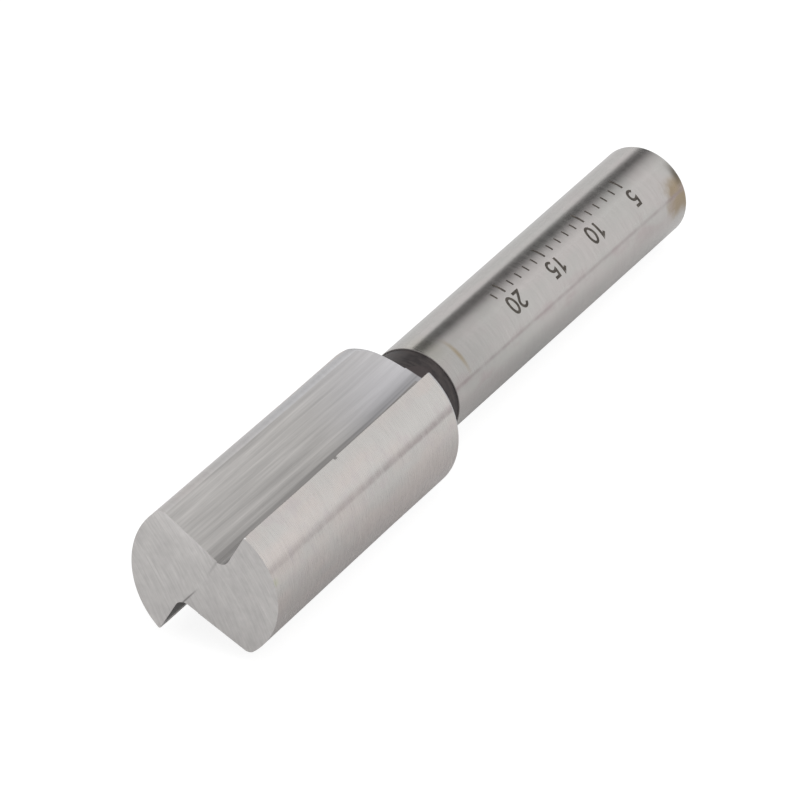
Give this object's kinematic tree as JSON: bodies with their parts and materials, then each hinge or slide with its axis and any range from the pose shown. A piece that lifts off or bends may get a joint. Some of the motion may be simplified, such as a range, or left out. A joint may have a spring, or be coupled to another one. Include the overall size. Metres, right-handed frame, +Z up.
{
  "type": "straight router bit",
  "caption": "One-piece straight router bit with a cutting head wider than its shank, deep open flutes, a dark neck and a plain ground cylindrical shank.",
  "frame": {"origin": "on the supporting surface, under the middle of the bounding box, with the bit lying at rest on one open flute", "axes": "+X along the bit, from the cutting end to the shank end, seen from above; +Z up from the supporting surface; +Y to the left of +X. The bit's own axis dips 1.7 degrees towards the shank end, because the head is thicker than the shank."},
  "size_m": [0.0546, 0.0102, 0.0091],
  "materials": {
    "ground_steel": "fine ground, with a dark scale-covered neck"
  },
  "bodies": {
    "root": {"router_bit": "ground_steel"}
  },
  "joints": []
}
